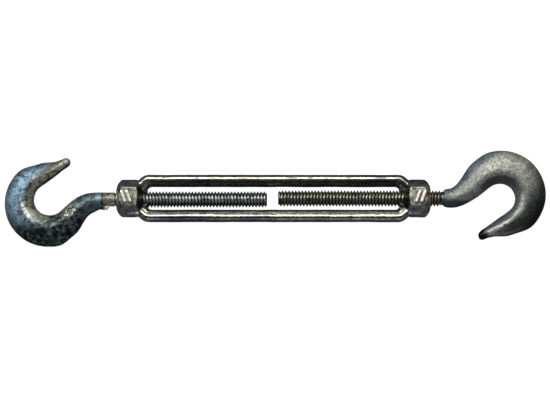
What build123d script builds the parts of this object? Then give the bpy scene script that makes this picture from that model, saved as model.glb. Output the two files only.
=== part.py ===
"""Hook-and-hook rigging turnbuckle with 1/4 in, 20 threads per inch screws.

The screw axis is X, the hooks lie in the XY plane, and the origin is the middle of the body on
the screw axis. The hook with the right-hand thread is on the -X side, and the hook with the
left-hand thread is on the +X side. Each hook is modelled in its own frame, where +X points away
from the body's middle and +Y points to the back of the bowl, and is then put in place.
"""

import math
import os
from dataclasses import dataclass

from build123d import *

# ---- Thread: unified coarse profile, tapped oversize as for galvanised screws ----
PITCH = 25.4 / 20
SCREW_MAJOR_RADIUS = 3.13
THREAD_DEPTH = 0.72
SCREW_ROOT_RADIUS = SCREW_MAJOR_RADIUS - THREAD_DEPTH
TAP_ALLOWANCE = 0.20
FLANK_WIDTH = THREAD_DEPTH * math.tan(math.radians(30))
CREST_WIDTH = 0.18
HELIX_POINTS = 8
TIP_CHAMFER = 0.8
RUN_OUT = 0.8

# ---- Body ----
BODY_HALF_LENGTH = 61.1
WINDOW_HALF_LENGTH = 48.9
HUB_ACROSS_FLATS = 13.0
HUB_CORNER_RADIUS = HUB_ACROSS_FLATS / 2 / math.cos(math.pi / 6)
HUB_FACE_RADIUS = 3.6
HUB_DOME_X = 58.3
HUB_DOME_MIDDLE = (60.5, 5.5)
HUB_ROOT_X = 50.8
HUB_SHOULDER_X = 53.2
HUB_ROOT_RADIUS = 3.6
TAP_MOUTH_RADIUS = 3.5
TAP_MOUTH_DEPTH = 0.45
BAR_CENTRE_Y = 6.85
BAR_WIDTH = 4.9
BAR_THICKNESS = 6.4
BAR_CREST = 0.6
BAR_BEND_X = 49.3
BAR_INNER_X = 51.6
BAR_INNER_Y = 4.7
BAR_END_X = 57.0
BAR_BEND_RADIUS = 2.6
WEB_THICKNESS = 5.0
WEB_END_X = 54.5
WEB_HALF_WIDTH = 6.0
WINDOW_CORNER_RADIUS = 1.4

# ---- Raised thread-hand mark on each hub: slanted bars that lean as the thread does ----
MARK_X = 57.1
MARK_LENGTH = 5.0
MARK_WIDTH = 1.0
MARK_SPACING = 2.1
MARK_HEIGHT = 0.35
MARK_LEAN = 20.0
MARK_SINK = 0.3

# ---- Hooks ----
NECK_RADIUS = 2.75
CORE_RADIUS = 1.5
CORE_CLEARANCE = 0.08
CORE_START = 6.0
CORE_LENGTH = 50.0
BOWL_THICKNESS = 8.8
BOWL_LAND_SAGITTA = 0.12
SECTION_POINTS = 20
RAY_STEP = 15


@dataclass
class Station:
    """A section across the hook, from its inner edge to its outer edge, in the hook's frame.

    crest is where the highest line runs, as a share of the width from the inner edge, and
    ridge goes from 0 for a plain oval to 1 for an oval with a marked ridge along its crest.
    """

    inner: tuple
    outer: tuple
    thickness: float
    crest: float = 0.33
    ridge: float = 1.0


@dataclass
class HookShape:
    """What differs between the two hand-forged hooks."""

    screw_tip: float
    thread_end: float
    screw_y: float
    bowl_x: float
    bowl_y: float
    bowl_radius: float
    back_offset: tuple
    back_radius: float
    first_ray: float
    last_ray: float
    shank: list
    point: list
    point_end: tuple


RIGHT_HAND = HookShape(
    screw_tip=2.5,
    thread_end=61.5,
    screw_y=0.4,
    bowl_x=87.0,
    bowl_y=0.4,
    bowl_radius=6.2,
    back_offset=(0.45, 1.45),
    back_radius=17.1,
    first_ray=105,
    last_ray=-42,
    shank=[
        Station((66.3, -2.4), (66.3, 4.1), 6.5, 0.5, 0.0),
        Station((69.4, -2.35), (68.6, 4.9), 6.8, 0.47, 0.2),
        Station((72.6, -1.95), (70.6, 5.9), 7.1, 0.44, 0.4),
        Station((75.4, -0.95), (72.5, 7.5), 7.5, 0.41, 0.6),
        Station((78.1, 0.75), (74.1, 10.1), 7.9, 0.38, 0.8),
        Station((80.8, 3.1), (76.0, 13.1), 8.3, 0.35),
        Station((83.7, 5.65), (78.6, 15.5), 8.6),
    ],
    point=[
        Station((88.2, -6.2), (92.6, -13.2), 7.4, 0.35),
        Station((85.4, -8.3), (89.2, -14.1), 6.4, 0.38),
        Station((83.2, -10.0), (86.0, -14.25), 5.4, 0.41),
        Station((81.3, -11.4), (83.6, -14.9), 4.4, 0.44),
        Station((79.8, -12.4), (81.8, -15.6), 3.8, 0.46, 0.7),
    ],
    point_end=(-0.80, -0.60),
)

LEFT_HAND = HookShape(
    screw_tip=1.8,
    thread_end=65.2,
    screw_y=0.0,
    bowl_x=88.2,
    bowl_y=0.0,
    bowl_radius=5.8,
    back_offset=(0.6, 1.65),
    back_radius=17.15,
    first_ray=105,
    last_ray=-42,
    shank=[
        Station((66.3, -3.2), (66.3, 3.2), 6.4, 0.5, 0.0),
        Station((69.8, -3.65), (68.4, 3.9), 6.8, 0.47, 0.2),
        Station((73.0, -2.9), (70.6, 5.0), 7.2, 0.44, 0.4),
        Station((76.0, -1.5), (72.4, 7.0), 7.6, 0.41, 0.6),
        Station((79.0, 0.3), (74.1, 9.5), 8.0, 0.38, 0.8),
        Station((81.8, 2.4), (76.2, 12.6), 8.4, 0.35),
        Station((84.7, 4.65), (79.2, 15.35), 8.6),
    ],
    point=[
        Station((89.9, -6.05), (94.4, -13.7), 7.4, 0.36),
        Station((87.0, -8.0), (90.6, -14.8), 6.4, 0.40),
        Station((84.4, -9.9), (87.2, -14.9), 5.4, 0.44),
        Station((82.2, -11.4), (84.5, -15.2), 4.6, 0.48),
        Station((80.3, -12.8), (82.0, -16.0), 4.0, 0.50, 0.7),
    ],
    point_end=(-0.82, -0.57),
)

# ---- Flash left by the forging dies on the right-hand hook's shoulder ----
BURR_OUTLINE = ((63.5, 3.0), (64.7, 4.45), (66.0, 4.55), (67.5, 4.3), (67.5, 2.0), (64.0, 2.0))
BURR_THICKNESS = 1.0


def polar(radius, angle):
    return radius * math.cos(angle), radius * math.sin(angle)


def helix_turn(radius, rise):
    """One turn of a right-hand helix about Z, from angle 0 at height rise, as a smooth curve."""
    shares = [k / HELIX_POINTS for k in range(HELIX_POINTS + 1)]
    points = [Vector(*polar(radius, 2 * math.pi * s), rise + PITCH * s) for s in shares]
    rate = Vector(0, 2 * math.pi * radius, PITCH)
    return Edge.make_spline(points, tangents=[rate, rate], parameters=shares, scale=False)


def thread_end_wall(profile, base):
    """The flat step, from the axis outwards, where a thread's first or last turn begins."""
    rim = [Vector(radius, 0, base + rise) for radius, rise in profile]
    top = base + PITCH
    corners = [Vector(0, 0, base), *rim, Vector(profile[0][0], 0, top), Vector(0, 0, top)]
    return Face(Wire.make_polygon(corners, close=True))


def thread_end_ramp(radius, base):
    """The one-turn ramp from the axis out to the crest that closes an end of a thread."""
    axis = Edge.make_line(Vector(0, 0, base), Vector(0, 0, base + PITCH))
    return Face.make_surface_from_curves(axis, helix_turn(radius, base))


def screw_solid(radial_growth, turns, left_hand):
    """A threaded bar along +Z, from z = 0, of whole turns: crests, flanks and roots as helical strips."""
    crest = SCREW_MAJOR_RADIUS + radial_growth
    root = SCREW_ROOT_RADIUS + radial_growth
    profile = (
        (crest, 0),
        (crest, CREST_WIDTH),
        (root, CREST_WIDTH + FLANK_WIDTH),
        (root, PITCH - FLANK_WIDTH),
    )
    rows = []
    for turn in range(turns):
        rows += [helix_turn(radius, turn * PITCH + rise) for radius, rise in profile]
    top = turns * PITCH
    rows.append(helix_turn(crest, top))
    faces = [Face.make_surface_from_curves(low, high) for low, high in zip(rows, rows[1:])]
    faces += [thread_end_ramp(crest, 0), thread_end_ramp(crest, top)]
    faces += [thread_end_wall(profile, 0), thread_end_wall(profile, top)]
    bar = Solid(Shell(faces))
    return bar.mirror(Plane.XZ) if left_hand else bar


def lathe(points):
    """A solid of revolution about X from (x, radius) points."""
    return revolve(make_face(Polyline(*points, close=True)), Axis.X)


def along_x(shape):
    return Rot(0, 90, 0) * shape


def hexagon_hub():
    """The +X hub: a hexagonal prism turned down at both ends, like a long nut."""
    prism = along_x(extrude(RegularPolygon(HUB_CORNER_RADIUS, 6, rotation=0), BODY_HALF_LENGTH))
    prism = Rot(90, 0, 0) * prism
    over = HUB_CORNER_RADIUS + 0.2
    edge = [
        Line((HUB_ROOT_X, 0), (HUB_ROOT_X, HUB_ROOT_RADIUS)),
        Line((HUB_ROOT_X, HUB_ROOT_RADIUS), (HUB_SHOULDER_X, over)),
        Line((HUB_SHOULDER_X, over), (HUB_DOME_X, over)),
        ThreePointArc((HUB_DOME_X, over), HUB_DOME_MIDDLE, (BODY_HALF_LENGTH, HUB_FACE_RADIUS)),
        Line((BODY_HALF_LENGTH, HUB_FACE_RADIUS), (BODY_HALF_LENGTH, 0)),
        Line((BODY_HALF_LENGTH, 0), (HUB_ROOT_X, 0)),
    ]
    envelope = revolve(make_face(Wire(edge)), Axis.X)
    return prism & envelope


def ridged_oval(crest, ridge):
    """(share of the width, share of half the thickness) around an oval, from its inner edge."""
    points = []
    for k in range(SECTION_POINTS):
        angle = 2 * math.pi * k / SECTION_POINTS
        reach = -math.cos(angle)
        side = crest if reach < 0 else 1 - crest
        power = 2 - (0.7 if reach < 0 else 0.2) * ridge
        height = math.sqrt(max(0, 1 - abs(reach) ** power))
        points.append((crest + side * reach, math.copysign(height, math.sin(angle))))
    return points


def half_bar():
    """Half of the +Y side bar, from the body's middle into the +X hub, of oval section."""
    path = FilletPolyline(
        (0, BAR_CENTRE_Y),
        (BAR_BEND_X, BAR_CENTRE_Y),
        (BAR_INNER_X, BAR_INNER_Y),
        (BAR_END_X, BAR_INNER_Y),
        radius=BAR_BEND_RADIUS,
    )
    inner_y = BAR_CENTRE_Y - BAR_WIDTH / 2
    outline = [
        (0, inner_y + share * BAR_WIDTH, height * BAR_THICKNESS / 2)
        for share, height in ridged_oval(BAR_CREST, 1.0)
    ]
    return sweep(Face(Wire([Spline(*outline, periodic=True)])), path=path)


def web():
    """The +X end wall of the window, between the hub and the two bars."""
    length = WEB_END_X - WINDOW_HALF_LENGTH
    block = Pos((WEB_END_X + WINDOW_HALF_LENGTH) / 2, 0, 0) * Box(
        length, 2 * WEB_HALF_WIDTH, WEB_THICKNESS
    )
    return block


def window_corner_fill():
    """Rounds the window's two +X corners, between the web and the bars."""
    inner_y = BAR_CENTRE_Y - BAR_WIDTH / 2
    size = 2 * WINDOW_CORNER_RADIUS
    corner = Pos(WINDOW_HALF_LENGTH, inner_y, 0) * Box(size, size, WEB_THICKNESS / 2)
    hollow = Pos(
        WINDOW_HALF_LENGTH - WINDOW_CORNER_RADIUS, inner_y - WINDOW_CORNER_RADIUS, 0
    ) * Cylinder(WINDOW_CORNER_RADIUS, WEB_THICKNESS)
    fill = corner - hollow
    return fill + fill.mirror(Plane.XZ)


def hand_mark(left_hand):
    """Two raised slanted bars on the hub's top flat."""
    lean = MARK_LEAN if left_hand else -MARK_LEAN
    bars = []
    for side in (-0.5, 0.5):
        slot = Pos(side * MARK_SPACING, 0) * Rot(0, 0, 90 - lean) * SlotOverall(
            MARK_LENGTH, MARK_WIDTH
        )
        bars.append(extrude(slot, MARK_HEIGHT + MARK_SINK))
    place = Pos(MARK_X if left_hand else -MARK_X, 0, HUB_ACROSS_FLATS / 2 - MARK_SINK)
    return [place * bar for bar in bars]


def tap(left_hand):
    """The cutters for one hub's thread, in phase with its screw, and for its outer mouth."""
    whole_turns = math.floor(WINDOW_HALF_LENGTH / PITCH) - 1
    start = whole_turns * PITCH
    turns = math.ceil((BODY_HALF_LENGTH + 1 - start) / PITCH)
    thread = Pos(start, 0, 0) * along_x(screw_solid(TAP_ALLOWANCE, turns, left_hand))
    mouth_x = BODY_HALF_LENGTH - TAP_MOUTH_DEPTH
    deep = TAP_MOUTH_RADIUS - TAP_MOUTH_DEPTH
    mouth = lathe(
        [
            (mouth_x, 0),
            (mouth_x, deep),
            (BODY_HALF_LENGTH + 1, TAP_MOUTH_RADIUS + 1),
            (BODY_HALF_LENGTH + 1, 0),
        ]
    )
    return thread, mouth


def turnbuckle_body():
    quarter_bar = half_bar()
    half = hexagon_hub() + quarter_bar + quarter_bar.mirror(Plane.XZ) + web()
    half = half + window_corner_fill()
    blank = half + half.mirror(Plane.YZ)
    for left_hand in (True, False):
        shape = LEFT_HAND if left_hand else RIGHT_HAND
        thread, mouth = tap(left_hand)
        place = Rot(0, 0, 0 if left_hand else 180) * Pos(0, shape.screw_y, 0)
        blank = blank - place * mouth
        blank = blank - place * thread
        for bar in hand_mark(left_hand):
            blank = blank + bar
    return blank


def section(station):
    """The closed outline of one hook section, square to the XY plane."""
    inner, outer = Vector(*station.inner), Vector(*station.outer)
    points = []
    for share, height in ridged_oval(station.crest, station.ridge):
        spot = inner + (outer - inner) * share
        points.append((spot.X, spot.Y, height * station.thickness / 2))
    return Wire([Spline(*points, periodic=True)])


def bowl_stations(shape):
    """Sections on rays from the bowl's centre, between the bowl's circle and the back's circle."""
    centre = Vector(shape.bowl_x, shape.bowl_y)
    offset = Vector(*shape.back_offset)
    steps = math.ceil((shape.first_ray - shape.last_ray) / RAY_STEP)
    stations = []
    for k in range(steps + 1):
        angle = math.radians(
            shape.first_ray + (shape.last_ray - shape.first_ray) * k / steps
        )
        ray = Vector(math.cos(angle), math.sin(angle))
        along = offset.dot(ray)
        reach = along + math.sqrt(along**2 + shape.back_radius**2 - offset.length**2)
        inner = centre + ray * (shape.bowl_radius - BOWL_LAND_SAGITTA)
        outer = centre + ray * reach
        stations.append(Station((inner.X, inner.Y), (outer.X, outer.Y), BOWL_THICKNESS))
    return stations


def rounded_end(last, direction):
    """Shrinking sections that round off the hook's point along a direction."""
    inner, outer = Vector(*last.inner), Vector(*last.outer)
    middle, half = (inner + outer) / 2, (outer - inner) / 2
    onward = Vector(*direction).normalized()
    ends = []
    for degrees in (35, 60, 78):
        angle = math.radians(degrees)
        centre = middle + onward * half.length * math.sin(angle)
        reach = half * math.cos(angle)
        low, high = centre - reach, centre + reach
        ends.append(
            Station(
                (low.X, low.Y),
                (high.X, high.Y),
                last.thickness * math.cos(angle),
                last.crest,
                last.ridge,
            )
        )
    return ends


def threaded_shank(shape, left_hand):
    """The screw and the plain neck behind it."""
    tip, end = shape.screw_tip, shape.thread_end
    over = SCREW_MAJOR_RADIUS + 0.3
    relief = SCREW_ROOT_RADIUS - 0.06
    blank = lathe(
        [
            (tip, 0),
            (tip, over - TIP_CHAMFER - 0.3),
            (tip + TIP_CHAMFER + 0.3, over),
            (end - RUN_OUT, over),
            (end, relief),
            (end, 0),
        ]
    )
    turns = math.ceil(shape.thread_end / PITCH)
    thread = along_x(screw_solid(0, turns, left_hand)) & blank
    neck_start = shape.shank[0].inner[0]
    neck = lathe(
        [
            (end, 0),
            (end, relief),
            (end + 0.3, NECK_RADIUS),
            (neck_start + 1.0, NECK_RADIUS),
            (neck_start + 1.0, 0),
        ]
    )
    return Pos(0, shape.screw_y, 0) * (thread + neck)


def shoulder_burr():
    """The thin lip of flash that stands out from the right-hand hook's shoulder."""
    lip = make_face(Polyline(*BURR_OUTLINE, close=True))
    return Pos(0, 0, -BURR_THICKNESS / 2) * extrude(lip, BURR_THICKNESS)


def hook(shape, left_hand):
    """One hook forging in its own frame, with a round cavity for its shank core."""
    stations = shape.shank + bowl_stations(shape) + shape.point
    stations += rounded_end(shape.point[-1], shape.point_end)
    bend = Solid.make_loft([section(s) for s in stations])
    bowl = Pos(shape.bowl_x, shape.bowl_y, 0) * Cylinder(shape.bowl_radius, 20)
    bend = bend - bowl
    whole = threaded_shank(shape, left_hand) + bend
    if not left_hand:
        whole = whole + shoulder_burr()
    cavity = Pos(CORE_START - CORE_CLEARANCE, shape.screw_y, 0) * along_x(
        Cylinder(
            CORE_RADIUS + CORE_CLEARANCE,
            CORE_LENGTH + 2 * CORE_CLEARANCE,
            align=(Align.CENTER, Align.CENTER, Align.MIN),
        )
    )
    return whole - cavity


def shank_core(shape):
    """The round middle of a screw, which slides with it and lets the rest of it turn."""
    return Pos(CORE_START, shape.screw_y, 0) * along_x(
        Cylinder(CORE_RADIUS, CORE_LENGTH, align=(Align.CENTER, Align.CENTER, Align.MIN))
    )


def main():
    os.makedirs("parts", exist_ok=True)
    minus_x_side = Rot(0, 0, 180)
    nodes = {
        "turnbuckle_body": turnbuckle_body(),
        "right_hand_hook": minus_x_side * hook(RIGHT_HAND, left_hand=False),
        "left_hand_hook": hook(LEFT_HAND, left_hand=True),
        "right_hand_shank_core": minus_x_side * shank_core(RIGHT_HAND),
        "left_hand_shank_core": shank_core(LEFT_HAND),
    }
    for name, shape in nodes.items():
        export_step(shape, f"parts/{name}.step")


main()
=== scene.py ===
"""The looks of the hook-and-hook turnbuckle: three dark, weathered, galvanised drop forgings.

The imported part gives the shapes. Each forging's smooth parts are remeshed, softened at their
edges and given a hammered, dented skin, and the screw threads keep their cut shape. The paint
is made of noises and of soft steps at places on the object, whose distances are in mm.
"""

import math

import bmesh
import bpy
import numpy as np
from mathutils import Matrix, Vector, noise

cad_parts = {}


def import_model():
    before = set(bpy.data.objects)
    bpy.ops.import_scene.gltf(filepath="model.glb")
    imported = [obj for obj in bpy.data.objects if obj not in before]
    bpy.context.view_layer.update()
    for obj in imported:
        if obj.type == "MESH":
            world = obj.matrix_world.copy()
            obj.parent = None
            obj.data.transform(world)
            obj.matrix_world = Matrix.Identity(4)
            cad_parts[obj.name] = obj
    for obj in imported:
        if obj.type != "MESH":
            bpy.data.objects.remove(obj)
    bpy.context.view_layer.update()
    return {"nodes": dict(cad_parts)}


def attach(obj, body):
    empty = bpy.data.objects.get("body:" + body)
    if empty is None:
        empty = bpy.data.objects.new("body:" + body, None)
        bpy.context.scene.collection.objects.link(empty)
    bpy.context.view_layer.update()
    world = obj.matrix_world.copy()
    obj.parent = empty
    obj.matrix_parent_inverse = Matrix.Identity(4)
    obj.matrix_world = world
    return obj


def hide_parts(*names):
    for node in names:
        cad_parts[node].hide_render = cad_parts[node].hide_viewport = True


MM = 0.001

# ---- Camera ----
LENS_MM = 180
SENSOR_MM = 36
VIEW_WIDTH = 213.9 * MM
VIEW_CENTRE = Vector((0.6 * MM, -0.6 * MM, 0))
ELEVATION = math.radians(83)
CAMERA_RANGE = 20.0

# ---- Stage: the floor lies 0.1 mm under the hubs ----
FLOOR_Z = -6.6 * MM
FLOOR_SIZE = 6.0
FLOOR_GREY = (0.25, 0.25, 0.25, 1)
WHITE = (1, 1, 1, 1)

# ---- Meshes ----
BODY_VOXEL = 0.28 * MM
BODY_SOFTENING = 3
HOOK_VOXEL = 0.22 * MM
HOOK_SOFTENING = 5
SEAM = 66.25 * MM
SEAM_OVERLAP = 0.15 * MM
WELD_DISTANCE = 1e-7
SHARP_ANGLE = math.radians(30)

# ---- Forged skin: depths in mm, and how often each kind of noise repeats per mm ----
BODY_SKIN = {"waves": 0.08, "dents": 0.045, "grain": 0.004, "seed": 1}
RIGHT_HAND_SKIN = {"waves": 0.07, "dents": 0.06, "grain": 0.03, "seed": 2}
LEFT_HAND_SKIN = {"waves": 0.06, "dents": 0.0, "grain": 0.01, "seed": 3}
SEED_SHIFT = Vector((13.7, 7.1, 3.3))
WAVES_PER_MM = 0.16
DENTS_PER_MM = 0.75
GRAIN_PER_MM = 2.1
DENT_START = 0.12

# ---- Places and axes that the paint follows, in mm ----
ORIGIN = (0, 0, 0)
X = (1, 0, 0)
Y = (0, 1, 0)
Z = (0, 0, 1)
RIGHT_HAND_BOWL = (-87.0, -0.4, 0.0)
LEFT_HAND_BOWL = (88.2, 0.0, 0.0)
RIGHT_HAND_SPECKS = (-79.3, -5.7, 0.0)
RIGHT_HAND_SCREW_Y = -0.4
LEFT_HAND_SCREW_Y = 0.0
BARE_NECK = (-66.0, -62.0)
THREAD_ROOT_RADIUS = 2.42
THREAD_CREST_RADIUS = 2.76

# ---- Finish ----
EVEN = (1, 1, 1)
DRAWN_OUT = (0.35, 1.0, 1.0)
MATT_ROUGHNESS = 0.55
HAZE_GLOSS = 0.25
BUMP_DEPTH = 0.2 * MM

# ---- Light: the world's tones run from square to KEY_DIRECTION, at 0, to along it, at 1 ----
KEY_DIRECTION = (-0.36, 0.62, 0.70)
WORLD_LOW = (0.070, 0.081, 0.098)
WORLD_HIGH = (0.46, 0.49, 0.50)
WORLD_TONES = (
    (0.20, (0.026, 0.032, 0.040)),
    (0.45, (0.012, 0.016, 0.020)),
    (0.72, (0.042, 0.050, 0.057)),
    (0.88, (0.17, 0.19, 0.205)),
)
# name: (place, size, watts, colour), in metres
LIGHTS = {
    "back_softbox": ((0.0, 0.66, 0.91), (0.9, 0.8), 10.0, (1.0, 0.97, 0.91)),
    "left_softbox": ((-0.8, 0.35, 0.7), (0.25, 0.4), 3.0, (0.80, 0.91, 1.0)),
    "front_strip": ((0.1, -1.0, 0.10), (1.0, 0.12), 1.0, (0.88, 0.94, 1.0)),
}


def add_camera():
    """Looks at the object's middle from nearly overhead, with VIEW_WIDTH across the picture."""
    data = bpy.data.cameras.new("camera")
    data.lens = LENS_MM
    data.sensor_width = SENSOR_MM
    camera = bpy.data.objects.new("camera", data)
    bpy.context.scene.collection.objects.link(camera)
    distance = VIEW_WIDTH * LENS_MM / SENSOR_MM
    back = Vector((0, -math.cos(ELEVATION), math.sin(ELEVATION)))
    camera.location = VIEW_CENTRE + back * distance
    camera.rotation_euler = (math.pi / 2 - ELEVATION, 0, 0)
    data.clip_end = CAMERA_RANGE
    bpy.context.scene.camera = camera


def add_floor():
    """A plain white floor, which neither lights the object nor shows in its reflections."""
    bpy.ops.mesh.primitive_plane_add(size=FLOOR_SIZE, location=(0, 0, FLOOR_Z))
    floor = bpy.context.object
    floor.name = "floor"
    material = bpy.data.materials.new("pale_floor")
    material.use_nodes = True
    shader = material.node_tree.nodes["Principled BSDF"]
    shader.inputs["Base Color"].default_value = FLOOR_GREY
    shader.inputs["Roughness"].default_value = 0.9
    shader.inputs["Specular IOR Level"].default_value = 0.0
    shader.inputs["Emission Color"].default_value = WHITE
    shader.inputs["Emission Strength"].default_value = 1.0
    floor.data.materials.append(material)
    floor.visible_glossy = False
    floor.visible_diffuse = False


def add_softbox(name, place, size, watts, colour):
    """A rectangular light that faces the object's middle."""
    data = bpy.data.lights.new(name, "AREA")
    data.shape = "RECTANGLE"
    data.size, data.size_y = size
    data.energy = watts
    data.color = colour
    light = bpy.data.objects.new(name, data)
    bpy.context.scene.collection.objects.link(light)
    light.location = place
    light.rotation_euler = (-Vector(place)).to_track_quat("-Z", "Y").to_euler()


def add_world():
    """A soft studio: pale towards KEY_DIRECTION, darkest at its sides and dim behind."""
    world = bpy.data.worlds.new("studio")
    bpy.context.scene.world = world
    world.use_nodes = True
    tree = world.node_tree
    tree.nodes.clear()
    place = tree.nodes.new("ShaderNodeTexCoord")
    towards_key = tree.nodes.new("ShaderNodeVectorMath")
    towards_key.operation = "DOT_PRODUCT"
    towards_key.inputs[1].default_value = KEY_DIRECTION
    ramp = tree.nodes.new("ShaderNodeValToRGB")
    background = tree.nodes.new("ShaderNodeBackground")
    output = tree.nodes.new("ShaderNodeOutputWorld")
    tree.links.new(place.outputs["Generated"], towards_key.inputs[0])
    tree.links.new(towards_key.outputs["Value"], ramp.inputs[0])
    tree.links.new(ramp.outputs[0], background.inputs[0])
    tree.links.new(background.outputs[0], output.inputs[0])
    stops = ramp.color_ramp.elements
    stops[0].position = 0.0
    stops[0].color = (*WORLD_LOW, 1)
    stops[1].position = 1.0
    stops[1].color = (*WORLD_HIGH, 1)
    for position, colour in WORLD_TONES:
        stop = stops.new(position)
        stop.color = (*colour, 1)
    background.inputs["Strength"].default_value = 1.0


# ---------------------------------------------------------------- meshes


def evaluated_copy(obj, name):
    """A new object from obj's mesh with its modifiers applied."""
    graph = bpy.context.evaluated_depsgraph_get()
    mesh = bpy.data.meshes.new_from_object(obj.evaluated_get(graph))
    made = bpy.data.objects.new(name, mesh)
    bpy.context.scene.collection.objects.link(made)
    return made


def keep_side(obj, plane_x, outward):
    """Cuts obj at the plane x = plane_x and keeps the side that outward (+1 or -1) points to."""
    mesh = bmesh.new()
    mesh.from_mesh(obj.data)
    geometry = mesh.verts[:] + mesh.edges[:] + mesh.faces[:]
    bmesh.ops.bisect_plane(
        mesh,
        geom=geometry,
        plane_co=(plane_x, 0, 0),
        plane_no=(outward, 0, 0),
        clear_inner=True,
    )
    mesh.to_mesh(obj.data)
    mesh.free()


def drop_inner_cavity(obj):
    """Deletes a closed inner surface, such as the sealed cavity of a screw."""
    mesh = bmesh.new()
    mesh.from_mesh(obj.data)
    bmesh.ops.remove_doubles(mesh, verts=mesh.verts, dist=WELD_DISTANCE)
    mesh.verts.ensure_lookup_table()
    seen = set()
    shells = []
    for start in mesh.verts:
        if start in seen:
            continue
        shell, queue = [], [start]
        seen.add(start)
        while queue:
            vert = queue.pop()
            shell.append(vert)
            for edge in vert.link_edges:
                other = edge.other_vert(vert)
                if other not in seen:
                    seen.add(other)
                    queue.append(other)
        shells.append(shell)
    shells.sort(key=len)
    for shell in shells[:-1]:
        bmesh.ops.delete(mesh, geom=shell, context="VERTS")
    mesh.to_mesh(obj.data)
    mesh.free()


def remesh(obj, name, voxel, smoothing):
    """obj's solid as an even skin of small quads, with softened edges."""
    modifier = obj.modifiers.new("voxels", "REMESH")
    modifier.mode = "VOXEL"
    modifier.voxel_size = voxel
    modifier.use_smooth_shade = True
    smooth = obj.modifiers.new("soften", "SMOOTH")
    smooth.factor = 0.5
    smooth.iterations = smoothing
    made = evaluated_copy(obj, name)
    obj.modifiers.clear()
    return made


def vertex_array(mesh, kind):
    """One row of three numbers for each vertex: its place ("co") or its normal ("normal")."""
    values = np.empty(len(mesh.vertices) * 3)
    mesh.vertices.foreach_get(kind, values)
    return values.reshape(-1, 3)


def forge_skin(obj, waves, dents, grain, seed):
    """Moves the skin in and out a little: long waves, small dents and fine grain."""
    places = vertex_array(obj.data, "co")
    normals = vertex_array(obj.data, "normal")
    moves = np.empty(len(places))
    for index, place in enumerate(places):
        spot = Vector(place) / MM + SEED_SHIFT * seed
        wave = noise.noise(spot * WAVES_PER_MM)
        dent = max(0.0, noise.noise(spot * DENTS_PER_MM) - DENT_START)
        fine = noise.noise(spot * GRAIN_PER_MM)
        moves[index] = waves * wave - dents * dent * 2 + grain * fine
    places += normals * moves[:, None] * MM
    obj.data.vertices.foreach_set("co", places.ravel())
    obj.data.update()


def node_copy(frame, node, name):
    """A new object with a copy of a CAD node's mesh, in the same place."""
    source = frame["nodes"][node]
    copy = bpy.data.objects.new(name, source.data.copy())
    bpy.context.scene.collection.objects.link(copy)
    copy.matrix_world = source.matrix_world.copy()
    return copy


def hook_pieces(frame, node, outward, skin):
    """One hook's cut screw and forged bend, on the side of the object that outward points to."""
    screw = node_copy(frame, node, node + "_screw")
    drop_inner_cavity(screw)
    bend = remesh(screw, node + "_bend", HOOK_VOXEL, HOOK_SOFTENING)
    keep_side(screw, outward * (SEAM + SEAM_OVERLAP), -outward)
    keep_side(bend, outward * SEAM, outward)
    screw.data.shade_smooth()
    screw.data.set_sharp_from_angle(angle=SHARP_ANGLE)
    forge_skin(bend, **skin)
    return screw, bend


# ---------------------------------------------------------------- materials


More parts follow.
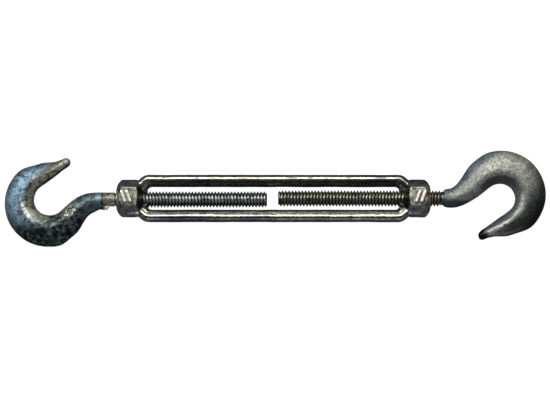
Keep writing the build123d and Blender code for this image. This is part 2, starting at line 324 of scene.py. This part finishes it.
class Paint:
    """Adds nodes to one material, whose places are the object's own, in mm."""

    def __init__(self, name):
        self.material = bpy.data.materials.new(name)
        self.material.use_nodes = True
        self.tree = self.material.node_tree
        self.shader = self.tree.nodes["Principled BSDF"]
        self.place = self.tree.nodes.new("ShaderNodeTexCoord").outputs["Object"]

    def link(self, output, target):
        self.tree.links.new(output, target)

    def noise(self, per_mm, detail=4.0, rough=0.6, stretch=EVEN):
        """A cloudy noise from 0 to 1. A stretch below 1 draws it out along that axis."""
        mapping = self.tree.nodes.new("ShaderNodeMapping")
        mapping.inputs["Scale"].default_value = [per_mm / MM * share for share in stretch]
        texture = self.tree.nodes.new("ShaderNodeTexNoise")
        texture.inputs["Scale"].default_value = 1.0
        texture.inputs["Detail"].default_value = detail
        texture.inputs["Roughness"].default_value = rough
        self.link(self.place, mapping.inputs[0])
        self.link(mapping.outputs[0], texture.inputs["Vector"])
        return texture.outputs["Fac"]

    def steps(self, value, low, high, out_low=0.0, out_high=1.0):
        """A soft step: out_low where value is below low, out_high where it is above high."""
        node = self.tree.nodes.new("ShaderNodeMapRange")
        node.interpolation_type = "SMOOTHSTEP"
        node.inputs["From Min"].default_value = low
        node.inputs["From Max"].default_value = high
        node.inputs["To Min"].default_value = out_low
        node.inputs["To Max"].default_value = out_high
        self.link(value, node.inputs["Value"])
        return node.outputs[0]

    def below(self, value, low, high, share=1.0):
        """share where value is below low, fading to 0 at high."""
        return self.steps(value, low, high, share, 0.0)

    def between(self, value, start, end, fade):
        """1 where value lies between start and end, fading out on both sides."""
        return self.times(self.steps(value, start - fade, start), self.below(value, end, end + fade))

    def mix(self, share, first, second):
        """first where share is 0, second where it is 1. Each is a colour or a node's output."""
        node = self.tree.nodes.new("ShaderNodeMix")
        node.data_type = "RGBA"
        self.link(share, node.inputs["Factor"])
        for value, socket in ((first, node.inputs["A"]), (second, node.inputs["B"])):
            if isinstance(value, tuple):
                socket.default_value = (*value, 1)
            else:
                self.link(value, socket)
        return node.outputs["Result"]

    def maths(self, operation, first, second):
        node = self.tree.nodes.new("ShaderNodeMath")
        node.operation = operation
        self.link(first, node.inputs[0])
        if isinstance(second, float):
            node.inputs[1].default_value = second
        else:
            self.link(second, node.inputs[1])
        return node.outputs[0]

    def times(self, first, second):
        return self.maths("MULTIPLY", first, second)

    def larger(self, first, second):
        return self.maths("MAXIMUM", first, second)

    def scaled(self, colour, factor):
        node = self.tree.nodes.new("ShaderNodeVectorMath")
        node.operation = "SCALE"
        self.link(colour, node.inputs[0])
        self.link(factor, node.inputs["Scale"])
        return node.outputs[0]

    def measure(self, direction):
        """Distance from the origin along a direction on the object."""
        node = self.tree.nodes.new("ShaderNodeVectorMath")
        node.operation = "DOT_PRODUCT"
        node.inputs[1].default_value = [share / MM for share in direction]
        self.link(self.place, node.inputs[0])
        return node.outputs["Value"]

    def distance(self, centre, axes=EVEN):
        """Distance from a place on the object, along the chosen axes only."""
        mapping = self.tree.nodes.new("ShaderNodeMapping")
        mapping.inputs["Scale"].default_value = [axis / MM for axis in axes]
        mapping.inputs["Location"].default_value = [-c * axis for c, axis in zip(centre, axes)]
        length = self.tree.nodes.new("ShaderNodeVectorMath")
        length.operation = "LENGTH"
        self.link(self.place, mapping.inputs[0])
        self.link(mapping.outputs[0], length.inputs[0])
        return length.outputs["Value"]

    def bump(self, height, strength):
        node = self.tree.nodes.new("ShaderNodeBump")
        node.inputs["Strength"].default_value = strength
        node.inputs["Distance"].default_value = BUMP_DEPTH
        self.link(height, node.inputs["Height"])
        self.link(node.outputs[0], self.shader.inputs["Normal"])


def zinc_base(paint, middle, pale, spread, stretch=EVEN):
    """Cloudy zinc: two tones that drift over about a centimetre, and a finer spangle."""
    clouds = paint.steps(paint.noise(0.11, stretch=stretch), 0.5 - spread, 0.5 + spread)
    colour = paint.mix(clouds, middle, pale)
    spangle = paint.steps(paint.noise(1.1, 3.0, stretch=stretch), 0.35, 0.65, 0.8, 1.15)
    return paint.scaled(colour, spangle)


def stained(paint, colour, per_mm, low, high, amount, stain):
    """colour with patches of a stain, where a noise of that scale passes low to high."""
    patches = paint.steps(paint.noise(per_mm, 5.0, 0.62), low, high)
    return paint.mix(paint.times(patches, amount), colour, stain)


def finish_zinc(paint, colour, metallic, rough, grain, matt=None, no_haze=None):
    """Links the colour, a patchy roughness and a fine grain, and returns the material.

    matt marks places that shine less, and no_haze marks dark places, painted shade and dirt among
    them, where the metal has no haze over it.
    """
    paint.link(colour, paint.shader.inputs["Base Color"])
    shine = paint.steps(paint.noise(0.8), 0.3, 0.7, *rough)
    if matt is not None:
        shine = paint.larger(shine, paint.times(matt, MATT_ROUGHNESS))
    paint.link(shine, paint.shader.inputs["Roughness"])
    if no_haze is None:
        paint.shader.inputs["Metallic"].default_value = metallic
    else:
        paint.link(paint.steps(no_haze, 0.0, 0.6, metallic, 1.0), paint.shader.inputs["Metallic"])
    paint.shader.inputs["Specular IOR Level"].default_value = HAZE_GLOSS
    paint.bump(paint.noise(1.7, 5.0), grain)
    return paint.material


# ---- The body: distances from its middle and heights in mm, and its colours ----
BARS_END = (47.0, 50.0)
FORKS = (48.6, 52.4)
HUBS_START = (53.0, 54.0)
HUB_FLATS = (6.0, 6.3)
HUB_MARKS = (6.62, 6.76)
STEEL_GREY = (0.22, 0.23, 0.235)
PALE_WEAR = (0.66, 0.62, 0.52)
SCALE = (0.05, 0.055, 0.055)
BLACK_SCALE = (0.01, 0.011, 0.011)
HUB_WEAR_AND_SHEEN = (0.80, 0.76, 0.64)
HUB_DIRT = (0.035, 0.04, 0.035)
FLAT_SHADE_GREY = (0.12, 0.12, 0.105)
MARK_HIGHLIGHT_CREAM = (0.92, 0.88, 0.74)
FACET_SHADE_BLUE = (0.11, 0.13, 0.16)
BAR_HIGHLIGHT_CREAM = (0.84, 0.78, 0.64)
BAR_EDGE_SHADE = (0.06, 0.07, 0.085)
BAR_INNER_SHADE = (0.014, 0.018, 0.018)
FORK_SHADE = (0.018, 0.020, 0.016)


def painted_hubs(paint, colour, on_hub, from_axis):
    """Pale wear with some painted sheen, and dirt, on the hubs; painted shade on the flats and
    facets; a painted highlight on the raised marks.
    """
    # Pale patches on the hubs: wear, and a painted sheen that lightens them.
    wear_and_sheen = paint.times(on_hub, paint.steps(paint.noise(0.35), 0.42, 0.62, 0.0, 0.25))
    colour = paint.mix(wear_and_sheen, colour, HUB_WEAR_AND_SHEEN)
    soiled = paint.times(on_hub, paint.steps(paint.noise(0.5, 5.0, 0.65), 0.50, 0.58, 0.0, 0.75))
    colour = paint.mix(soiled, colour, HUB_DIRT)
    height = paint.measure(Z)
    # Painted shade: the hubs' flats that face up are darkened.
    flats = paint.times(on_hub, paint.steps(height, *HUB_FLATS, 0.0, 0.6))
    colour = paint.mix(flats, colour, FLAT_SHADE_GREY)
    # Painted highlight: the raised marks are painted bright cream.
    marks = paint.times(on_hub, paint.steps(height, *HUB_MARKS, 0.0, 0.85))
    colour = paint.mix(marks, colour, MARK_HIGHLIGHT_CREAM)
    # Painted shade: the hubs' sloping facets are darkened towards blue-grey.
    facets = paint.times(on_hub, paint.steps(from_axis, 3.4, 4.6, 0.0, 0.6))
    return paint.mix(facets, colour, FACET_SHADE_BLUE)


def painted_bars(paint, colour, on_bars):
    """A painted highlight along each bar, and painted shade at the -Y bar's edges and inside the +Y
    bar.
    """
    up = paint.measure(Y)
    # Painted highlight: a cream band along each bar, broken into streaks.
    highlight_band = paint.larger(paint.between(up, -6.8, -5.7, 0.5), paint.between(up, 7.0, 7.9, 0.4))
    streaks = paint.steps(paint.noise(0.4, 5.0, 0.65, DRAWN_OUT), 0.40, 0.62, 0.0, 0.8)
    highlight_band = paint.times(paint.times(highlight_band, streaks), on_bars)
    colour = paint.mix(highlight_band, colour, BAR_HIGHLIGHT_CREAM)
    # Painted shade along the edges of the -Y bar.
    edge_shade = paint.larger(paint.below(up, -7.8, -7.2, 0.65), paint.between(up, -5.1, -4.0, 0.4))
    edge_shade = paint.times(paint.times(edge_shade, on_bars), paint.below(up, -3.0, -2.0, 0.8))
    colour = paint.mix(edge_shade, colour, BAR_EDGE_SHADE)
    # Painted shade, near-black, on the inner half of the +Y bar.
    inner_shade = paint.times(paint.between(up, 4.9, 6.5, 0.5), on_bars)
    return paint.mix(paint.times(inner_shade, 0.85), colour, BAR_INNER_SHADE)


def body_paint():
    """Dark steel-grey zinc with pale wear drawn out along the bars, black scale, painted shade in the
    forks, and painted highlights and shade on the bars and hubs.
    """
    paint = Paint("body_zinc")
    from_middle = paint.distance(ORIGIN, X)
    from_axis = paint.distance(ORIGIN, Y)
    colour = zinc_base(paint, STEEL_GREY, PALE_WEAR, 0.13, DRAWN_OUT)
    colour = stained(paint, colour, 0.5, 0.50, 0.68, 0.7, SCALE)
    colour = stained(paint, colour, 1.7, 0.60, 0.70, 0.8, BLACK_SCALE)
    colour = painted_hubs(paint, colour, paint.steps(from_middle, *HUBS_START), from_axis)
    colour = painted_bars(paint, colour, paint.below(from_middle, *BARS_END))
    # Painted shade, near-black, in the recessed web of each fork between window and hub.
    fork_shade = paint.between(from_middle, *FORKS, 0.9)
    fork_shade = paint.times(fork_shade, paint.below(from_axis, 3.8, 5.6, 0.88))
    colour = paint.mix(fork_shade, colour, FORK_SHADE)
    matt = paint.steps(from_middle, 52.0, 54.0, 0.0, 0.85)
    return finish_zinc(paint, colour, 0.95, (0.20, 0.36), 0.18, matt)


# ---- The hook with the right-hand thread, at -X: directions and colours ----
ACROSS_RIGHT_POINT = (-0.6, 0.8, 0)
TOWARDS_RIGHT_RIM = (-0.875, -0.485, 0)
BELOW_RIGHT_BEND = (0.45, -0.89, 0)
TOWARDS_RIGHT_SHANK = (0.92, 0.38, 0)
BLUE_GREY = (0.12, 0.185, 0.235)
PALE_BLUE = (0.27, 0.39, 0.48)
POINT_KHAKI = (0.145, 0.145, 0.12)
INNER_REFLECTION_KHAKI = (0.52, 0.50, 0.39)
FLANK_REFLECTION_KHAKI = (0.55, 0.52, 0.42)
CORNER_SHADE_BLACK = (0.04, 0.055, 0.025)
SHADE_GREEN_GREY = (0.20, 0.24, 0.215)
GREEN_DIRT_AND_SHADE = (0.014, 0.022, 0.018)
DARK_BLOTS = (0.010, 0.018, 0.018)
BLUE_STAIN = (0.03, 0.05, 0.05)
BLACK_PITS = (0.008, 0.01, 0.01)
GLINT_CREAM = (0.95, 0.90, 0.76)
GROOVE_BLACK = (0.01, 0.01, 0.01)


def khaki_and_painted_light(paint, colour, point, across_point):
    """Khaki on the point, pale khaki painted reflections inside the bowl and on the point's flank,
    and black-green painted shade in the bowl's corner.
    """
    ragged = paint.steps(paint.noise(0.3), 0.3, 0.6, 0.6, 1.0)
    colour = paint.mix(paint.times(point, ragged), colour, POINT_KHAKI)
    # Painted reflection: pale khaki round the inside of the bowl.
    inside = paint.below(paint.distance(RIGHT_HAND_BOWL), 8.8, 11.5)
    colour = paint.mix(paint.times(inside, ragged), colour, INNER_REFLECTION_KHAKI)
    # Painted reflection: pale khaki along the point's inner flank.
    flank = paint.times(point, paint.between(across_point, 58.8, 60.4, 0.7))
    colour = paint.mix(flank, colour, FLANK_REFLECTION_KHAKI)
    # Painted shade, black-green, in the inner corner of the bowl.
    corner = paint.below(across_point, 57.6, 58.9, 0.85)
    corner = paint.times(corner, paint.steps(paint.measure(Y), 1.5, 4.0))
    return paint.mix(corner, colour, CORNER_SHADE_BLACK)


def painted_shade_underneath(paint, colour, low):
    """Painted shade, green-grey, under the bend, with mottled black-green dirt and shade over it.
    Returns the colour and that mask.
    """
    # Painted shade: the lower side turns green-grey, with mottled dirt and shade and dark blots over
    # it.
    colour = paint.mix(paint.times(low, 0.8), colour, SHADE_GREEN_GREY)
    dirt_and_shade = paint.times(low, paint.steps(paint.noise(0.55, 5.0, 0.65), 0.42, 0.58, 0.1, 0.95))
    colour = paint.mix(dirt_and_shade, colour, GREEN_DIRT_AND_SHADE)
    blots = paint.times(low, paint.steps(paint.noise(0.26, 5.0, 0.7), 0.49, 0.59, 0.0, 0.7))
    return paint.mix(blots, colour, DARK_BLOTS), dirt_and_shade


def painted_glints(paint, colour):
    """Painted cream glints on the bowl's rim and in specks on the inside of the shank's bend."""
    # Painted glints: cream on the bowl's rim and in specks inside the shank's bend.
    rim = paint.between(paint.distance(RIGHT_HAND_BOWL), 10.4, 11.6, 0.9)
    rim = paint.times(rim, paint.steps(paint.measure(TOWARDS_RIGHT_RIM), 85.3, 86.6))
    rim = paint.times(rim, paint.steps(paint.noise(0.9), 0.44, 0.54))
    specks = paint.below(paint.distance(RIGHT_HAND_SPECKS, (1, 1, 0)), 2.0, 4.0)
    specks = paint.times(specks, paint.steps(paint.noise(1.1, 5.0, 0.65), 0.54, 0.60))
    return paint.mix(paint.larger(rim, specks), colour, GLINT_CREAM)


def right_hand_hook_paint():
    """Blue-grey zinc, khaki on the point, painted khaki reflections inside, painted shade underneath
    and in the corner, with pits, dirt and painted glints.
    """
    paint = Paint("blue_zinc")
    along = paint.measure(X)
    across_point = paint.measure(ACROSS_RIGHT_POINT)
    point = paint.times(paint.steps(along, -95.0, -89.5), paint.steps(paint.measure(Y), 3.0, 6.0))
    point = paint.times(point, paint.below(across_point, 61.6, 63.6))
    # low: the lower side of the bend, which gets the painted shade; it fades towards the shank.
    low = paint.steps(paint.measure(BELOW_RIGHT_BEND), -37.0, -28.5)
    low = paint.times(low, paint.steps(paint.measure(TOWARDS_RIGHT_SHANK), -73.5, -69.0, 1.0, 0.35))
    colour = zinc_base(paint, BLUE_GREY, PALE_BLUE, 0.13)
    colour = khaki_and_painted_light(paint, colour, point, across_point)
    colour, dirt_and_shade = painted_shade_underneath(paint, colour, low)
    colour = stained(paint, colour, 0.42, 0.46, 0.64, 0.8, BLUE_STAIN)
    colour = stained(paint, colour, 1.25, 0.56, 0.64, 0.9, BLACK_PITS)
    colour = painted_glints(paint, colour)
    shoulder_line = paint.between(along, -66.7, -66.2, 0.15)
    colour = paint.mix(shoulder_line, colour, GROOVE_BLACK)
    return finish_zinc(paint, colour, 0.6, (0.30, 0.46), 0.9, matt=point, no_haze=dirt_and_shade)


# ---- The hook with the left-hand thread, at +X: directions and colours ----
ALONG_LEFT_POINT = (0.874, 0.485, 0)
ACROSS_LEFT_POINT = (-0.485, 0.874, 0)
TOWARDS_LEFT_THROAT = (-0.1, 1.0, 0)
TOWARDS_LEFT_RIM = (0.92, -0.39, 0)
TOWARDS_FAR_SIDE = (0.80, -0.60, 0)
TOWARDS_BACK = (-0.66, 0.75, 0)
OLIVE_GREY = (0.245, 0.258, 0.235)
PALE_OLIVE = (0.46, 0.46, 0.40)
FAR_SIDE_SHADE = (0.006, 0.010, 0.010)
BELLY_SHADE_BLUE = (0.02, 0.03, 0.035)
BACK_SHADE_BLUE = (0.12, 0.155, 0.25)
THROAT_SHADE = (0.035, 0.040, 0.035)
FLANK_SHADE_BLUE = (0.07, 0.08, 0.13)
RIDGE_HIGHLIGHT_CREAM = (0.86, 0.84, 0.76)
OLIVE_CLOUDS = (0.06, 0.075, 0.066)
OLIVE_STAIN = (0.06, 0.075, 0.07)
DARK_SPECKS = (0.03, 0.035, 0.03)
TIP_SHADE_BLACK = (0.006, 0.007, 0.014)


def shaded_sides(paint, colour, shaded_far_side):
    """Green-black painted shade on the bowl's far side, painted shade under the shank, and blue-grey
    painted shade at the bend's back.
    """
    # Painted shade, green-black, on the bowl's far side.
    colour = paint.mix(paint.times(shaded_far_side, 0.97), colour, FAR_SIDE_SHADE)
    # Painted shade, blue-black, under the shank.
    belly = paint.below(paint.measure(Y), -1.7, -0.5, 0.85)
    belly = paint.times(belly, paint.between(paint.measure(X), 67.5, 75.0, 3.0))
    colour = paint.mix(belly, colour, BELLY_SHADE_BLUE)
    # Painted shade, blue-grey, on the bend's back.
    back = paint.steps(paint.measure(TOWARDS_BACK), -45.2, -43.4)
    return paint.mix(paint.times(back, 0.7), colour, BACK_SHADE_BLUE)


def throat_and_ridge(paint, colour, along_point):
    """Painted shade in the throat and on the point's flank, and painted cream highlights on the ridge
    and the bowl's rim.
    """
    from_bowl = paint.distance(LEFT_HAND_BOWL)
    # Painted shade in the throat, on the inner side of the bowl's top.
    throat = paint.between(from_bowl, 7.2, 8.9, 1.1)
    throat_top = paint.steps(paint.measure(TOWARDS_LEFT_THROAT), -6.5, -2.5, 0.0, 0.85)
    colour = paint.mix(paint.times(throat, throat_top), colour, THROAT_SHADE)
    across_point = paint.measure(ACROSS_LEFT_POINT)
    on_point = paint.times(paint.steps(along_point, 60.0, 63.0), paint.below(along_point, 72.0, 81.0))
    # Painted shade, blue-black, on the point's flank.
    flank = paint.times(on_point, paint.between(across_point, -51.0, -45.0, 0.7))
    colour = paint.mix(paint.times(flank, 0.8), colour, FLANK_SHADE_BLUE)
    # Painted highlight, cream, along the point's ridge; below it, painted glints on the bowl's rim.
    ridge = paint.times(on_point, paint.between(across_point, -52.8, -52.1, 0.6))
    ridge = paint.times(ridge, paint.steps(along_point, 63.0, 66.0, 0.3, 1.0))
    rim = paint.between(from_bowl, 8.6, 9.4, 0.8)
    rim = paint.times(rim, paint.steps(paint.measure(TOWARDS_LEFT_RIM), 87.0, 89.0))
    rim = paint.times(rim, paint.steps(paint.noise(0.9), 0.46, 0.58, 0.15, 1.0))
    return paint.mix(paint.times(paint.larger(ridge, rim), 0.9), colour, RIDGE_HIGHLIGHT_CREAM)


def left_hand_hook_paint():
    """Olive-grey zinc with soft clouds, painted shade in the throat, on the far side and at the tip,
    and painted highlights on the ridge.
    """
    paint = Paint("olive_zinc")
    # The far side, which gets the painted shade.
    shaded_far_side = paint.steps(paint.measure(TOWARDS_FAR_SIDE), 72.0, 90.0)
    along_point = paint.measure(ALONG_LEFT_POINT)
    # Painted shade, near-black, at the tip.
    tip = paint.below(along_point, 64.0, 67.5, 0.95)
    tip = paint.times(tip, paint.below(paint.measure(Y), -11.0, -9.0))
    colour = zinc_base(paint, OLIVE_GREY, PALE_OLIVE, 0.15)
    colour = shaded_sides(paint, colour, shaded_far_side)
    colour = throat_and_ridge(paint, colour, along_point)
    colour = stained(paint, colour, 0.22, 0.48, 0.66, 0.6, OLIVE_CLOUDS)
    colour = stained(paint, colour, 0.9, 0.48, 0.64, 0.55, OLIVE_STAIN)
    colour = stained(paint, colour, 1.9, 0.55, 0.65, 0.7, DARK_SPECKS)
    colour = paint.mix(tip, colour, TIP_SHADE_BLACK)
    # The painted shade of the far side and tip has no haze over the metal.
    no_haze = paint.larger(shaded_far_side, tip)
    return finish_zinc(paint, colour, 0.5, (0.36, 0.52), 0.7, no_haze=no_haze)


# ---- The screws ----
NECK_CREAM = (0.88, 0.85, 0.76)
NECK_STAIN = (0.04, 0.05, 0.06)


def thread_paint(name, screw_y, root_shade, crest, wear_and_sheen, grime):
    """Cut thread: painted shade in the roots, a painted highlight along one line of the crests,
    grime, and a bare neck.
    """
    paint = Paint(name)
    radius = paint.distance((0.0, screw_y, 0.0), (0, 1, 1))
    # Painted shade: the roots are darker than the crests.
    on_crest = paint.steps(radius, THREAD_ROOT_RADIUS, THREAD_CREST_RADIUS)
    # Painted highlight: a bright line along the crests in the screw's middle, seen from above.
    highlight_line = paint.between(paint.measure(Y), screw_y - 0.9, screw_y + 0.3, 0.9)
    colour = paint.mix(on_crest, root_shade, paint.mix(highlight_line, crest, wear_and_sheen))
    colour = stained(paint, colour, 0.4, 0.48, 0.7, 0.7, grime)
    neck = paint.between(paint.measure(X), *BARE_NECK, 0.3)
    colour = paint.mix(neck, colour, NECK_CREAM)
    colour = stained(paint, colour, 0.6, 0.52, 0.60, 0.75, NECK_STAIN)
    return finish_zinc(paint, colour, 0.9, (0.25, 0.42), 0.3)


# ---------------------------------------------------------------- assembly


def add_piece(obj, body, material, slot, *nodes):
    """obj rides on a body, wears a material and stands for the CAD nodes that are named."""
    obj.data.materials.clear()
    obj.data.materials.append(material)
    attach(obj, body)
    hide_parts(*nodes)


def build_body(frame):
    forging = node_copy(frame, "turnbuckle_body", "body_source")
    body = remesh(forging, "body_forging", BODY_VOXEL, BODY_SOFTENING)
    bpy.data.objects.remove(forging)
    forge_skin(body, **BODY_SKIN)
    add_piece(body, "body", body_paint(), "body_forging", "turnbuckle_body")


def build_hook(frame, side, outward, skin, zinc, thread):
    """One hook in two pieces, and the round core hidden in its screw, which stays a CAD node."""
    hook = side + "_hook"
    screw, bend = hook_pieces(frame, hook, outward, skin)
    add_piece(screw, hook, thread, hook + "_forging", hook)
    add_piece(bend, hook, zinc, hook + "_forging", hook)
    core = frame["nodes"][side + "_shank_core"]
    core.data.materials.clear()
    core.data.materials.append(thread)


def build(frame):
    build_body(frame)
    grey = thread_paint(
        "grey_thread",
        RIGHT_HAND_SCREW_Y,
        root_shade=(0.03, 0.035, 0.04),
        crest=(0.26, 0.28, 0.28),
        wear_and_sheen=(0.85, 0.85, 0.80),
        grime=(0.07, 0.08, 0.09),
    )
    khaki = thread_paint(
        "khaki_thread",
        LEFT_HAND_SCREW_Y,
        root_shade=(0.035, 0.03, 0.02),
        crest=(0.25, 0.23, 0.17),
        wear_and_sheen=(0.42, 0.385, 0.29),
        grime=(0.09, 0.075, 0.05),
    )
    build_hook(frame, "right_hand", -1, RIGHT_HAND_SKIN, right_hand_hook_paint(), grey)
    build_hook(frame, "left_hand", 1, LEFT_HAND_SKIN, left_hand_hook_paint(), khaki)


def main():
    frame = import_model()
    bpy.context.scene.view_settings.view_transform = "Standard"
    add_camera()
    add_floor()
    add_world()
    for name, settings in LIGHTS.items():
        add_softbox(name, *settings)
    build(frame)


main()
